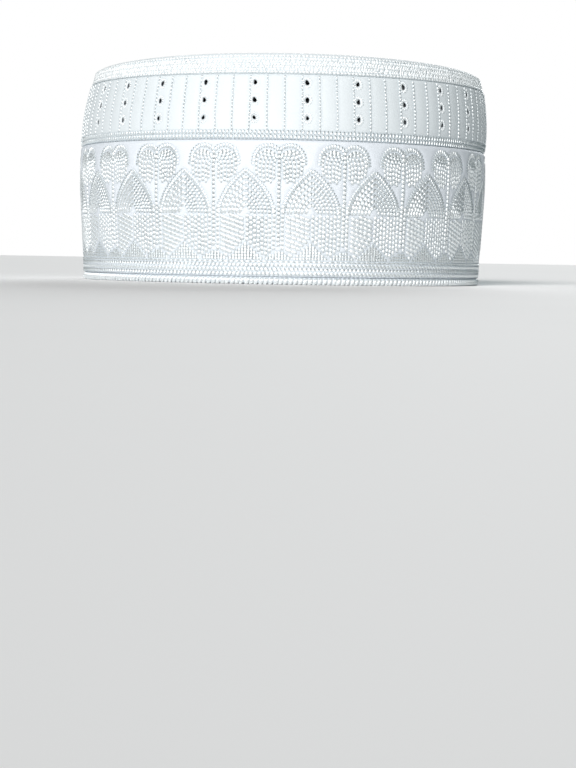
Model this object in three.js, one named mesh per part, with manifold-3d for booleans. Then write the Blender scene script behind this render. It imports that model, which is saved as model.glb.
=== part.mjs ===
import * as THREE from 'three';
import { mergeVertices } from 'three/addons/utils/BufferGeometryUtils.js';
import Module from 'manifold-3d';

// A brimless embroidered cap, sewn from two tiers, a narrow crown edge and an oval crown.
// Sizes are in millimetres: +Z is up, the front faces -Y and the rim stands on z = 0.

// Outside of the oval at the rim, the seam, the crown line and the top
const RIM_WIDTH = 175.8;
const RIM_DEPTH = 195;
const SEAM_WIDTH = 178.8;
const SEAM_DEPTH = 197;
const CROWN_LINE_WIDTH = 173.2;
const CROWN_LINE_DEPTH = 182;
const TOP_WIDTH = 170.4;
const TOP_DEPTH = 178.6;
// How far the crown has settled to the right of the rim
const CROWN_SHIFT = 1.6;

// How far each tier swells out between its two ovals
const LOWER_SWELL = 0.8;
const UPPER_SWELL = 1.1;

const RIM_BINDING_HEIGHT = 3;
const LOWER_BAND_HEIGHT = 54.7;
const UPPER_BAND_HEIGHT = 26.5;
// The crown edge stands tallest at the front and is pressed down round the sides and back
const EDGE_HEIGHT_FRONT = 8.2;
const EDGE_HEIGHT_BACK = 4.8;
// Height of the crown's middle above the edge at the back
const CROWN_RISE = 3;

// Thickness of the layered and stitched cloth
const LOWER_WALL = 2.2;
const UPPER_WALL = 1.8;
const EDGE_WALL = 2;
const CROWN_WALL = 1.8;
// The rim's whipping stands out from the cloth by this much on both faces
const WHIPPING_BULGE = 0.4;
// Depth of the groove where the upper band is sewn behind the lower band's folded edge
const SEAM_STEP = 0.7;
// Clearance between pieces that are sewn together
const SEWN_GAP = 0.3;
// Softening of a folded edge
const FOLD_EASE = 0.6;

const EYELET_COLUMNS = 26;
const EYELET_ROWS = 3;
const EYELET_WIDTH = 2.2;
const EYELET_HEIGHT = 2.7;
// From the band's edges to the centres of the outer rows of eyelets
const EYELET_BOTTOM_MARGIN = 8.7;
const EYELET_TOP_MARGIN = 3.3;
// The middle of the front lies between two columns, turned by this much (degrees)
const EYELET_TURN = -0.7;

const SEGMENTS = 64;
const EYELET_SIDES = 6;

// Shares of a tier's height, and of its swell at that height
const LOWER_SECTIONS = [
  { height: 0.22, swell: 0.3 },
  { height: 0.45, swell: 0.65 },
  { height: 0.7, swell: 1 },
  { height: 0.88, swell: 0.7 },
];
const UPPER_SECTIONS = [
  { height: 0.3, swell: 1 },
  { height: 0.65, swell: 0.8 },
];

const lowerBottom = RIM_BINDING_HEIGHT + SEWN_GAP;
const seamLevel = lowerBottom + LOWER_BAND_HEIGHT;
const upperBottom = seamLevel + SEWN_GAP;
const crownLineLevel = upperBottom + UPPER_BAND_HEIGHT;
const edgeBottom = crownLineLevel + SEWN_GAP;
const crownMiddle = edgeBottom + EDGE_HEIGHT_BACK + CROWN_RISE;

const rimOval = { width: RIM_WIDTH / 2, depth: RIM_DEPTH / 2, shift: 0 };
const seamOval = { width: SEAM_WIDTH / 2, depth: SEAM_DEPTH / 2, shift: 0 };
const crownLineOval = { width: CROWN_LINE_WIDTH / 2, depth: CROWN_LINE_DEPTH / 2, shift: CROWN_SHIFT };
const topOval = { width: TOP_WIDTH / 2, depth: TOP_DEPTH / 2, shift: CROWN_SHIFT };

const thread = new THREE.MeshStandardMaterial({ color: 0xf6fafc, roughness: 0.5, metalness: 0 });
const satin = new THREE.MeshStandardMaterial({ color: 0xf1f7fa, roughness: 0.38, metalness: 0 });

// Swell at a share of the tier's height, eased through the rows of its table
function swellAt(sections, share) {
  const rows = [{ height: 0, swell: 0 }, ...sections, { height: 1, swell: 0 }];
  const next = Math.max(1, rows.findIndex((row) => row.height >= share));
  const low = rows[next - 1];
  const high = rows[next];
  return THREE.MathUtils.mapLinear(share, low.height, high.height, low.swell, high.swell);
}

// Point of the oval between two named ovals, at an angle from the front towards +X
function ovalPoint(low, high, share, outward, angle, level) {
  const width = THREE.MathUtils.lerp(low.width, high.width, share) + outward;
  const depth = THREE.MathUtils.lerp(low.depth, high.depth, share) + outward;
  const shift = THREE.MathUtils.lerp(low.shift, high.shift, share);
  return new THREE.Vector3(shift + width * Math.sin(angle), -depth * Math.cos(angle), level);
}

function rimPlace(inset, share, angle) {
  return ovalPoint(rimOval, rimOval, 0, WHIPPING_BULGE - inset, angle, share * RIM_BINDING_HEIGHT);
}

function lowerPlace(inset, share, angle) {
  const outward = LOWER_SWELL * swellAt(LOWER_SECTIONS, share) - inset;
  return ovalPoint(rimOval, seamOval, share, outward, angle, lowerBottom + share * LOWER_BAND_HEIGHT);
}

function upperPlace(inset, share, angle) {
  const outward = UPPER_SWELL * swellAt(UPPER_SECTIONS, share) - SEAM_STEP * (1 - share) - inset;
  return ovalPoint(seamOval, crownLineOval, share, outward, angle, upperBottom + share * UPPER_BAND_HEIGHT);
}

// The edge's height eases from the front's to the back's before it reaches the sides
function edgeHeight(angle) {
  const towardsFront = Math.max(0, Math.cos(angle));
  return THREE.MathUtils.lerp(EDGE_HEIGHT_BACK, EDGE_HEIGHT_FRONT, towardsFront);
}

function edgePlace(inset, share, angle) {
  return ovalPoint(crownLineOval, topOval, share, -inset, angle, edgeBottom + share * edgeHeight(angle));
}

// The crown's rim follows the inside of the crown edge, and its middle lies at its own level
function crownPlace(drop, reach, angle) {
  const height = edgeHeight(angle);
  const rim = edgePlace(EDGE_WALL + SEWN_GAP, 1 - drop / height, angle);
  const middle = crownMiddle - drop;
  const level = THREE.MathUtils.lerp(middle, rim.z, reach * reach);
  return new THREE.Vector3(CROWN_SHIFT + (rim.x - CROWN_SHIFT) * reach, rim.y * reach, level);
}

// Leaves only merged positions, without the triangles that closed up at a pole
function mergedGeometry(geometry) {
  geometry.deleteAttribute('normal');
  geometry.deleteAttribute('uv');
  const merged = mergeVertices(geometry, 1e-5);
  const corners = Array.from(merged.index.array);
  const kept = [];
  for (let i = 0; i < corners.length; i += 3) {
    const [a, b, c] = corners.slice(i, i + 3);
    if (a !== b && b !== c && c !== a) {
      kept.push(a, b, c);
    }
  }
  merged.setIndex(kept);
  return merged;
}

// Turns a profile of (across, up) points about Z, and puts each point where place says
function turnedPiece(profile, place) {
  const farthest = Math.max(...profile.map(([across]) => across));
  const turnRadius = farthest + 1;
  const points = profile.map(([across, up]) => new THREE.Vector2(turnRadius - across, up));
  const geometry = mergedGeometry(new THREE.LatheGeometry(points, SEGMENTS));
  const position = geometry.attributes.position;
  for (let i = 0; i < position.count; i += 1) {
    const angle = Math.atan2(position.getX(i), position.getZ(i));
    const across = turnRadius - Math.hypot(position.getX(i), position.getZ(i));
    const placed = place(across, position.getY(i), angle);
    position.setXYZ(i, placed.x, placed.y, placed.z);
  }
  return geometry;
}

// A cloth ring's section: up the outside, over the folded top and down the inside.
// Points are an inset into the cloth and a share of the piece's height.
function wallProfile(wall, height, outerShares, innerShares) {
  const ease = Math.min(FOLD_EASE, wall / 3);
  const easeShare = ease / height;
  const outside = [[ease, 0], [0, easeShare], ...outerShares.map((share) => [0, share]), [0, 1 - easeShare]];
  const inside = [[wall, 1 - easeShare], ...innerShares.map((share) => [wall, share]), [wall, easeShare]];
  return [...outside, [ease, 1], [wall - ease, 1], ...inside, [wall - ease, 0], [ease, 0]];
}

function rimBinding() {
  const wall = LOWER_WALL + 2 * WHIPPING_BULGE;
  return turnedPiece(wallProfile(wall, RIM_BINDING_HEIGHT, [], []), rimPlace);
}

function lowerBand() {
  const rows = LOWER_SECTIONS.map((section) => section.height);
  const insideRows = [rows[2], rows[1]];
  return turnedPiece(wallProfile(LOWER_WALL, LOWER_BAND_HEIGHT, rows, insideRows), lowerPlace);
}

function upperBandWall() {
  const rows = UPPER_SECTIONS.map((section) => section.height);
  const insideRows = [rows[0]];
  return turnedPiece(wallProfile(UPPER_WALL, UPPER_BAND_HEIGHT, rows, insideRows), upperPlace);
}

function crownEdge() {
  return turnedPiece(wallProfile(EDGE_WALL, EDGE_HEIGHT_BACK, [], []), edgePlace);
}

// The crown's section runs out along the underside and back along the top.
// Points are a reach from the middle to the rim and a drop below the top of the crown edge.
function crown() {
  const reaches = [0, 0.3, 0.6, 0.85, 1];
  const underside = reaches.map((reach) => [reach, SEWN_GAP + CROWN_WALL]);
  const top = reaches.map((reach) => [reach, SEWN_GAP]).reverse();
  const points = [...underside, ...top].map(([reach, drop]) => new THREE.Vector2(reach, -drop));
  const geometry = mergedGeometry(new THREE.LatheGeometry(points, SEGMENTS));
  const position = geometry.attributes.position;
  for (let i = 0; i < position.count; i += 1) {
    const angle = Math.atan2(position.getX(i), position.getZ(i));
    const reach = Math.hypot(position.getX(i), position.getZ(i));
    const placed = crownPlace(-position.getY(i), reach, angle);
    position.setXYZ(i, placed.x, placed.y, placed.z);
  }
  return geometry;
}

const wasm = await Module();
wasm.setup();

function toSolid(geometry) {
  const vertProperties = new Float32Array(geometry.attributes.position.array);
  const triVerts = new Uint32Array(geometry.index.array);
  return new wasm.Manifold(new wasm.Mesh({ numProp: 3, vertProperties, triVerts }));
}

function toGeometry(solid) {
  const mesh = solid.getMesh();
  const geometry = new THREE.BufferGeometry();
  geometry.setAttribute('position', new THREE.BufferAttribute(mesh.vertProperties, 3));
  geometry.setIndex(new THREE.BufferAttribute(mesh.triVerts, 1));
  return geometry;
}

// A short six-sided punch that stands square to the cloth at one place of the upper band
function eyeletPunch(share, angle) {
  const step = 0.01;
  const centre = upperPlace(UPPER_WALL / 2, share, angle);
  const around = upperPlace(UPPER_WALL / 2, share, angle + step).sub(centre).normalize();
  const upward = upperPlace(UPPER_WALL / 2, share + step, angle).sub(centre).normalize();
  const outward = around.clone().cross(upward).normalize();
  const punch = new THREE.CylinderGeometry(0.5, 0.5, 3 * UPPER_WALL, EYELET_SIDES);
  punch.scale(EYELET_WIDTH, 1, EYELET_HEIGHT);
  const turn = new THREE.Matrix4().makeBasis(around, outward, upward.negate());
  punch.applyMatrix4(turn);
  punch.translate(centre.x, centre.y, centre.z);
  return toSolid(mergedGeometry(punch));
}

function upperBand() {
  let band = toSolid(upperBandWall());
  const lowest = EYELET_BOTTOM_MARGIN / UPPER_BAND_HEIGHT;
  const highest = 1 - EYELET_TOP_MARGIN / UPPER_BAND_HEIGHT;
  const columnTurn = (2 * Math.PI) / EYELET_COLUMNS;
  for (let column = 0; column < EYELET_COLUMNS; column += 1) {
    const angle = (column + 0.5) * columnTurn + THREE.MathUtils.degToRad(EYELET_TURN);
    for (let row = 0; row < EYELET_ROWS; row += 1) {
      const share = THREE.MathUtils.lerp(lowest, highest, row / (EYELET_ROWS - 1));
      band = band.subtract(eyeletPunch(share, angle));
    }
  }
  return toGeometry(band);
}

function piece(name, geometry, material) {
  const mesh = new THREE.Mesh(geometry, material);
  mesh.name = name;
  return mesh;
}

const group = new THREE.Group();
group.add(piece('rim_binding', rimBinding(), thread));
group.add(piece('lower_band', lowerBand(), thread));
group.add(piece('upper_band', upperBand(), satin));
group.add(piece('crown_edge', crownEdge(), thread));
group.add(piece('crown', crown(), satin));

export default group;
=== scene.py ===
import math

import bmesh
import bpy
import numpy as np
from mathutils import Matrix, Vector, kdtree


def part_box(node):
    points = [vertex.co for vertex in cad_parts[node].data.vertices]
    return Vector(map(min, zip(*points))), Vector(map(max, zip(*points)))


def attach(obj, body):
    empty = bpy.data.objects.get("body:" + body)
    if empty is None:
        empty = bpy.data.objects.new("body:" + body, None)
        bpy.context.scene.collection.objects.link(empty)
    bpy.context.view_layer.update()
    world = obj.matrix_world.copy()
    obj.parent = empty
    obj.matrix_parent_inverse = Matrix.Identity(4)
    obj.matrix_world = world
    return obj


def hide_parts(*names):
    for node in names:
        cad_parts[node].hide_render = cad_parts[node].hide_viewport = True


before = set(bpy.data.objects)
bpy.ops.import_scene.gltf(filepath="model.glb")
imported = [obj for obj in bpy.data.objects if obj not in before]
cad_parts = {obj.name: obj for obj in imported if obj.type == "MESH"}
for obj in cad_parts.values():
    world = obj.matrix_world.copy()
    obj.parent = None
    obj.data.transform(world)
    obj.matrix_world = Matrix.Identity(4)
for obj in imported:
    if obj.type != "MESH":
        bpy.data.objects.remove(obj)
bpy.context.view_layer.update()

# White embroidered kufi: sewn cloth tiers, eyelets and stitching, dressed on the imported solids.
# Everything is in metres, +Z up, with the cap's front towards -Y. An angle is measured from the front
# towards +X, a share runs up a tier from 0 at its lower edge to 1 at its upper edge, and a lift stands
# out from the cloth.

MM = 0.001
FULL_TURN = 2 * math.pi

# Half width, half depth and shift to the right of each oval that the tiers are cut to
RIM_OVAL = (87.9 * MM, 97.5 * MM, 0.0)
SEAM_OVAL = (89.4 * MM, 98.5 * MM, 0.0)
CROWN_LINE_OVAL = (86.6 * MM, 91.0 * MM, 1.6 * MM)
TOP_OVAL = (85.2 * MM, 89.3 * MM, 1.6 * MM)
MEAN_RADIUS = 93 * MM

# How far the bands bulge, and how far up their fullest line lies
LOWER_SWELL = 0.8 * MM
LOWER_SWELL_LEAN = 1.94
UPPER_SWELL = 1.1 * MM
UPPER_SWELL_LEAN = 0.8
COLUMN_LEAN = 0.02

# The soft upright ridges at both sides, and the steps at the seam and the rim
CREASE_TURN = math.radians(84)
CREASE_WIDTH = 0.022
CREASE_HEIGHT = 0.7 * MM
SEAM_STEP = 0.7 * MM
WHIPPING_BULGE = 0.4 * MM

# Thickness of each wall, and the gap between pieces that are sewn together
LOWER_WALL = 2.2 * MM
UPPER_WALL = 1.8 * MM
EDGE_WALL = 2.0 * MM
CROWN_WALL = 1.8 * MM
SEWN_GAP = 0.3 * MM

# Levels of the tiers
RIM_LOW, RIM_HIGH = (corner.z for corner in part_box("rim_binding"))
LOWER_LOW, LOWER_HIGH = (corner.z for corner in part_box("lower_band"))
UPPER_LOW, UPPER_HIGH = (corner.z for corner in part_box("upper_band"))
EDGE_LOW, EDGE_HIGH = (corner.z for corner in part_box("crown_edge"))
LOWER_HEIGHT = LOWER_HIGH - LOWER_LOW
UPPER_HEIGHT = UPPER_HIGH - UPPER_LOW
EDGE_HEIGHT_FRONT = EDGE_HIGH - EDGE_LOW
EDGE_HEIGHT_BACK = 4.8 * MM
CROWN_RISE = 3 * MM

# How the eyelets and the figures are spaced
EYELET_COLUMNS = 26
EYELET_ROWS = 3
EYELET_BOTTOM_MARGIN = 8.7 * MM
EYELET_TOP_MARGIN = 3.3 * MM
EYELET_TURN = math.radians(-0.7)
FIGURES = 21
FIGURE_TURN = math.radians(-0.9)

SEED = 57
random = np.random.default_rng(SEED)


# Surfaces of the tiers

def blended_oval(low, high, share, lift, angle, level):
    """Points at an angle on the oval that lies between two ovals, lifted outward."""
    width, depth, shift = (a + (b - a) * share for a, b in zip(low, high))
    across = shift + (width + lift) * np.sin(angle)
    return np.stack([across, -(depth + lift) * np.cos(angle), level], axis=-1)


def swelling(share, lean):
    """How far up its bulge a band is, from 0 at both edges to 1 at its fullest line."""
    return np.sin(np.pi * np.clip(share, 0, 1) ** lean)


def creased(angle):
    """The soft upright ridges at both sides, where the cap is folded flat."""
    wrapped = (angle + math.pi) % FULL_TURN - math.pi
    aside = (np.abs(wrapped) - CREASE_TURN) / CREASE_WIDTH
    return CREASE_HEIGHT * np.exp(-aside ** 2)


def lower_surface(angle, share, lift):
    outward = LOWER_SWELL * swelling(share, LOWER_SWELL_LEAN) + lift
    return blended_oval(RIM_OVAL, SEAM_OVAL, share, outward, angle, LOWER_LOW + share * LOWER_HEIGHT)


def upper_surface(angle, share, lift):
    """The upper band, with its columns kept upright although the crown sits a little to one side."""
    angle = angle - COLUMN_LEAN * share * np.cos(angle)
    bulge = UPPER_SWELL * swelling(share, UPPER_SWELL_LEAN)
    outward = bulge - SEAM_STEP * (1 - share) + creased(angle) + lift
    return blended_oval(SEAM_OVAL, CROWN_LINE_OVAL, share, outward, angle, UPPER_LOW + share * UPPER_HEIGHT)


def edge_height(angle):
    return EDGE_HEIGHT_BACK + (EDGE_HEIGHT_FRONT - EDGE_HEIGHT_BACK) * np.maximum(0, np.cos(angle))


def edge_surface(angle, share, lift):
    return blended_oval(CROWN_LINE_OVAL, TOP_OVAL, share, lift, angle, EDGE_LOW + share * edge_height(angle))


def crown_surface(angle, share, lift):
    """The crown's top face: share 0 is its rim, inside the crown edge, and share 1 is its middle."""
    reach = 1 - share
    drop = SEWN_GAP - lift
    rim = edge_surface(angle, 1 - drop / edge_height(angle), -EDGE_WALL - SEWN_GAP)
    middle = EDGE_LOW + EDGE_HEIGHT_BACK + CROWN_RISE - drop
    shift = TOP_OVAL[2]
    across = shift + (rim[..., 0] - shift) * reach
    level = middle + (rim[..., 2] - middle) * reach ** 2
    return np.stack([across, rim[..., 1] * reach, level], axis=-1)


def surface_frame(surface, angle, share, lift):
    """Points with the directions round the tier, up the tier and out of the cloth at each of them."""
    step = 1e-4
    point = surface(angle, share, lift)
    around = surface(angle + step, share, lift) - surface(angle - step, share, lift)
    upward = surface(angle, share + step, lift) - surface(angle, share - step, lift)
    around /= np.linalg.norm(around, axis=1, keepdims=True)
    outward = np.cross(around, upward)
    outward /= np.linalg.norm(outward, axis=1, keepdims=True)
    return point, around, np.cross(outward, around), outward


# Stitches, as tables of places: each row is angle, share, turn, length, width, height, lay and tone.
# The lay is the threads' own direction within the stitch: 0 along it, or a quarter turn where they are
# wound across it.

ANGLE, SHARE, TURN, LENGTH, WIDTH, HEIGHT, LAY, TONE = range(8)
WOUND = math.pi / 2
LENGTH_SPREAD = (0.92, 1.06)
WIDTH_SPREAD = (0.9, 1.1)

# How far stitches stray round the tier, and by what angle they turn
NEAT = (0.05 * MM, 0.04)
FIGURE_STRAY = (0.07 * MM, 0.05)
PANEL_STRAY = (0.06 * MM, 0.08)
SPOKE_STRAY = (0.08 * MM, 0.15)
SEAM_STRAY = (0.08 * MM, 0.1)
EDGE_LINE_STRAY = (0.1 * MM, 0.1)
ZIGZAG_STRAY = (0.22 * MM, 0.45)

# The unit stitch: a ball of few faces, drawn out to full shoulders
GRAIN_SIDES = 6
GRAIN_RINGS = 4
SHOULDER_SCALE = (1.18, 1.32, 1.3)


def stitch_table(angle, share, turn, length, width, height, lay=0.0):
    columns = np.broadcast_arrays(angle, share, turn, length, width, height, lay, 0.0)
    table = np.stack([np.ravel(column) for column in columns], axis=1).astype(float)
    table[:, TONE] = random.uniform(-1, 1, len(table))
    return table


def loosened(table, shift, sway):
    """Uneven sewing: each stitch strays a little from its place, its direction and its size."""
    count = len(table)
    table = table.copy()
    table[:, ANGLE] += random.normal(0, shift / MEAN_RADIUS, count)
    table[:, TURN] += random.normal(0, sway, count)
    table[:, LENGTH] *= random.uniform(*LENGTH_SPREAD, count)
    table[:, WIDTH] *= random.uniform(*WIDTH_SPREAD, count)
    return table


def stepped(points, pitch):
    """Even steps along a line of points: the middle and the direction of each stitch."""
    points = np.asarray(points, float)
    runs = np.linalg.norm(np.diff(points, axis=0), axis=1)
    length = np.concatenate([[0], np.cumsum(runs)])
    count = max(1, round(length[-1] / pitch))
    stops = np.linspace(0, length[-1], count + 1)
    ends = np.stack([np.interp(stops, length, points[:, i]) for i in (0, 1)], axis=1)
    middles = (ends[1:] + ends[:-1]) / 2
    runs = ends[1:] - ends[:-1]
    return middles, np.arctan2(runs[:, 1], runs[:, 0]), np.linalg.norm(runs, axis=1)


def eased_curve(points, steps=12):
    """A smooth curve through a few points (Catmull-Rom)."""
    points = np.asarray(points, float)
    padded = np.vstack([2 * points[0] - points[1], points, 2 * points[-1] - points[-2]])
    t = np.linspace(0, 1, steps, endpoint=False)[:, None]
    spans = []
    for a, b, c, d in zip(padded, padded[1:], padded[2:], padded[3:]):
        spans.append(0.5 * (2 * b + (c - a) * t + (2 * a - 5 * b + 4 * c - d) * t ** 2
                            + (3 * b - a - 3 * c + d) * t ** 3))
    return np.vstack([*spans, points[-1:]])


def grain():
    """One stitch of unit half sizes, lying along X: a straight barrel with rounded ends."""
    bm = bmesh.new()
    bmesh.ops.create_uvsphere(bm, u_segments=GRAIN_SIDES, v_segments=GRAIN_RINGS, radius=1)
    bmesh.ops.rotate(bm, cent=(0, 0, 0), matrix=Matrix.Rotation(math.pi / 2, 3, "Y"), verts=bm.verts)
    shoulders = [vert for vert in bm.verts if 0.3 < abs(vert.co.x) < 0.9]
    for vert in shoulders:
        vert.co = [place * scale for place, scale in zip(vert.co, SHOULDER_SCALE)]
    return unit_shape(bm)


def unit_shape(bm):
    """Corner places and triangles of a finished unit shape."""
    bmesh.ops.triangulate(bm, faces=bm.faces)
    bmesh.ops.recalc_face_normals(bm, faces=bm.faces)
    bm.verts.index_update()
    corners = np.array([vert.co for vert in bm.verts], float)
    triangles = np.array([[vert.index for vert in face.verts] for face in bm.faces], int)
    bm.free()
    return corners, triangles


def joined_mesh(name, places, triangles, stitch, across):
    """One mesh of many copies, from each copy's corner places, stitch values and way across the thread."""
    copies, corners_each = places.shape[:2]
    offsets = np.arange(copies)[:, None, None] * corners_each
    joined = (triangles[None] + offsets).reshape(-1, 3)
    mesh = bpy.data.meshes.new(name)
    mesh.vertices.add(copies * corners_each)
    mesh.vertices.foreach_set("co", places.astype(np.float32).ravel())
    mesh.loops.add(joined.size)
    mesh.loops.foreach_set("vertex_index", joined.astype(np.int32).ravel())
    mesh.polygons.add(len(joined))
    mesh.polygons.foreach_set("loop_start", np.arange(0, joined.size, 3, dtype=np.int32))
    mesh.polygons.foreach_set("use_smooth", np.ones(len(joined), bool))
    for attribute, values in (("stitch", stitch), ("across", across)):
        mesh.attributes.new(attribute, "FLOAT_VECTOR", "POINT")
        mesh.attributes[attribute].data.foreach_set("vector", values.astype(np.float32).ravel())
    mesh.update(calc_edges=True)
    mesh.validate()
    return mesh


def sewn(name, surface, tables, material):
    """Joins one copy of the unit stitch for each row of the tables, laid on a tier's surface."""
    table = np.vstack(tables)
    corners, triangles = GRAIN
    on_cloth = np.zeros(len(table))
    point, around, upward, outward = surface_frame(surface, table[:, ANGLE], table[:, SHARE], on_cloth)
    cosine = np.cos(table[:, TURN])[:, None]
    sine = np.sin(table[:, TURN])[:, None]
    along = (cosine * around + sine * upward) * table[:, LENGTH, None] / 2
    across = (cosine * upward - sine * around) * table[:, WIDTH, None] / 2
    raised = outward * table[:, HEIGHT, None]
    placed = (point[:, None] + corners[None, :, 0, None] * along[:, None]
              + corners[None, :, 1, None] * across[:, None] + corners[None, :, 2, None] * raised[:, None])
    thread_turn = (table[:, TURN] + table[:, LAY])[:, None]
    aside = np.cos(thread_turn) * upward - np.sin(thread_turn) * around
    stitch = np.empty((len(table), len(corners), 3))
    stitch[..., 0] = corners[None, :, 0]
    stitch[..., 1] = np.arctan2(corners[:, 1], corners[:, 2])[None] / math.pi
    stitch[..., 2] = table[:, TONE, None]
    mesh = joined_mesh(name, placed, triangles, stitch, np.repeat(aside, len(corners), axis=0))
    return finished(name, mesh, material)


def finished(name, mesh, material, replaced=None):
    """Adds a mesh as a piece of the cap."""
    mesh.materials.append(material)
    piece = bpy.data.objects.new(name, mesh)
    bpy.context.scene.collection.objects.link(piece)
    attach(piece, "root")
    if replaced:
        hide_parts(replaced)
    return piece


# Cloth walls, turned round Z in an unpressed form and then pressed onto their tiers

TURN_RADIUS = 0.1
FOLD_REACH = 0.13 * MM
FOLD_STEPS = 5
FACE_DEPTH = 0.2 * MM
RIPPLE_HEIGHT = 0.12 * MM
RIPPLES = ((5, 2.1, 0), (11, -3.7, 1), (23, 5, 0))
# How near a stitch the cloth is painted fully in shade, and over what distance that painted shade fades
STITCH_SHADE_NEAR = 0.5 * MM
STITCH_SHADE_FADE = 0.7 * MM


def relief_field(surface, shaded_tables):
    """A search tree of the stitches on a tier, and the strength of the shade painted beside each of them."""
    table = np.vstack([table for table, _ in shaded_tables])
    shades = np.concatenate([np.full(len(table), shade) for table, shade in shaded_tables])
    points = surface(table[:, ANGLE], table[:, SHARE], np.zeros(len(table)))
    tree = kdtree.KDTree(len(points))
    for i, point in enumerate(points):
        tree.insert(point, i)
    tree.balance()
    return tree, shades


def nearest(field, points):
    """Distance from each point to the nearest stitch, and the strength of the shade painted beside it."""
    tree, shades = field
    found = np.array([tree.find(point)[1:] for point in points])
    return found[:, 1], shades[found[:, 0].astype(int)]


def puffed(distance, reach, height):
    """Lift of the cloth: nothing at a stitch and full where none is near."""
    near = np.clip(distance / reach, 0, 1)
    return height * (3 * near ** 2 - 2 * near ** 3)


def shade_among_stitches(distance, shade):
    """Painted shade on the cloth among stitches, from 0 on open cloth to 1 between close rows."""
    return np.minimum(1, shade * np.clip(1 - (distance - STITCH_SHADE_NEAR) / STITCH_SHADE_FADE, 0, 1))


def folded_section(wall, height, rows, inner_rows, top_fold, bottom_fold):
    """A cloth wall's section as (inset, share): up the outside, folded over, down the inside and under."""
    radius = wall / 2
    edge = FOLD_REACH / height
    over = top_fold * radius / height
    under = bottom_fold * radius / height
    turns = np.linspace(0, math.pi, FOLD_STEPS + 2)[1:-1]
    top = [(radius - radius * math.cos(t), 1 + edge - over + over * math.sin(t)) for t in turns]
    bottom = [(radius + radius * math.cos(t), under - edge - under * math.sin(t)) for t in turns]
    outside = [(0.0, share) for share in rows]
    inside = [(wall, share) for share in reversed(inner_rows)]
    return [*outside, *top, *inside, *bottom]


def turned(section, segments, start=0.0):
    """Spins a closed section of (inset, share) round Z in its unpressed form."""
    bm = bmesh.new()
    side = Vector((math.sin(start), -math.cos(start), 0))
    verts = [bm.verts.new(side * (TURN_RADIUS - inset) + Vector((0, 0, share))) for inset, share in section]
    edges = [bm.edges.new(pair) for pair in zip(verts, verts[1:] + verts[:1])]
    bmesh.ops.spin(bm, geom=[*verts, *edges], cent=(0, 0, 0), axis=(0, 0, 1), angle=FULL_TURN,
                   steps=segments, use_merge=True)
    return bm


def unpressed(bm):
    """Angle, share and inset of each corner of a turned wall."""
    places = np.array([vert.co for vert in bm.verts], float)
    angle = np.arctan2(places[:, 0], -places[:, 1])
    return angle, places[:, 2], TURN_RADIUS - np.hypot(places[:, 0], places[:, 1])


def pressed(name, bm, surface, tier_height, field=None, reach=2 * MM, height=0.0):
    """Presses a turned wall onto its tier, swells its outside between the stitches and lays its weave."""
    bm.verts.index_update()
    angle, share, inset = unpressed(bm)
    outside = np.clip(1 - inset / FACE_DEPTH, 0, 1)
    lift = -inset + RIPPLE_HEIGHT * outside * rippled(angle, share)
    # Shade painted on the outside among the stitches
    painted_shade = np.zeros(len(angle))
    if field:
        shown = outside > 0
        distance, shade = nearest(field, surface(angle[shown], share[shown], np.zeros(shown.sum())))
        lift[shown] += puffed(distance, reach, height) * outside[shown]
        painted_shade[shown] = shade_among_stitches(distance, shade) * outside[shown]
    # Shade painted inside the eyelets, kept where it is the stronger
    eyelet_shade = bm.verts.layers.float.get("eyelet_shade")
    if eyelet_shade:
        painted_shade = np.maximum(painted_shade, [vert[eyelet_shade] for vert in bm.verts])
    return settled(name, bm, surface(angle, share, lift), angle, share * tier_height, painted_shade)


def settled(name, bm, places, angle, up, painted_shade):
    """Moves a turned wall's corners to their places and makes it a smooth mesh with its weave."""
    for vert, place in zip(bm.verts, places):
        vert.co = place
    bmesh.ops.recalc_face_normals(bm, faces=bm.faces)
    for face in bm.faces:
        face.smooth = True
    lay_weave(bm, angle, up)
    mesh = bpy.data.meshes.new(name)
    bm.to_mesh(mesh)
    bm.free()
    # The painted shade, kept for the cloth's colour
    mesh.attributes.new("painted_shade", "FLOAT", "POINT")
    mesh.attributes["painted_shade"].data.foreach_set("value", painted_shade.astype(np.float32))
    return mesh


def rippled(angle, share):
    """Slow unevenness of the pressed cloth, from -1 to 1."""
    waves = [np.sin(turns * angle + climb * share + start) for turns, climb, start in RIPPLES]
    return sum(waves) / len(waves)


def lay_weave(bm, angle, up):
    """A UV map in which U runs round the cap and V up the cloth, both in metres."""
    layer = bm.loops.layers.uv.new("weave")
    for face in bm.faces:
        turns = [angle[loop.vert.index] for loop in face.loops]
        wraps = max(turns) - min(turns) > math.pi
        for loop, turn in zip(face.loops, turns):
            if wraps and turn < 0:
                turn += FULL_TURN
            loop[layer].uv = (turn * MEAN_RADIUS, up[loop.vert.index])


# Embroidered figures of the lower band, drawn in one cell, in millimetres across from the stem and down
# from the fold

CELL = 27.2
BAND = LOWER_HEIGHT / MM

CANOPY = [(0.3, 4.0), (2.6, 2.5), (5.7, 2.3), (8.6, 3.8), (10.2, 6.8), (10.4, 10.2)]
FROND_SPREADS = (1.0, 0.84, 0.68, 0.52, 0.37, 0.23)
CROWDED_LEVEL = 12
CROWDED_WIDTH = 0.5
CROWDED_WIDENING = 0.16

STEM_HEAD = 6.8
STEM_TOP = STEM_HEAD - 2.6
STEM_NOTCH = 43.0
STEM_END = STEM_NOTCH - 0.4
TRUNK = 1.75
TRUNK_TOP = 26.0

ARCH_FOOT = 29.2
ARCH = [(0, -17.0), (3.4, -14.2), (7.1, -10.3), (9.9, -6.0), (11.3, -2.3), (11.6, 0.5)]
ARCH_SCALES = (0.86, 0.73, 0.6, 0.47, 0.34, 0.21)
ARCH_NOTCH = 40.2

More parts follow.
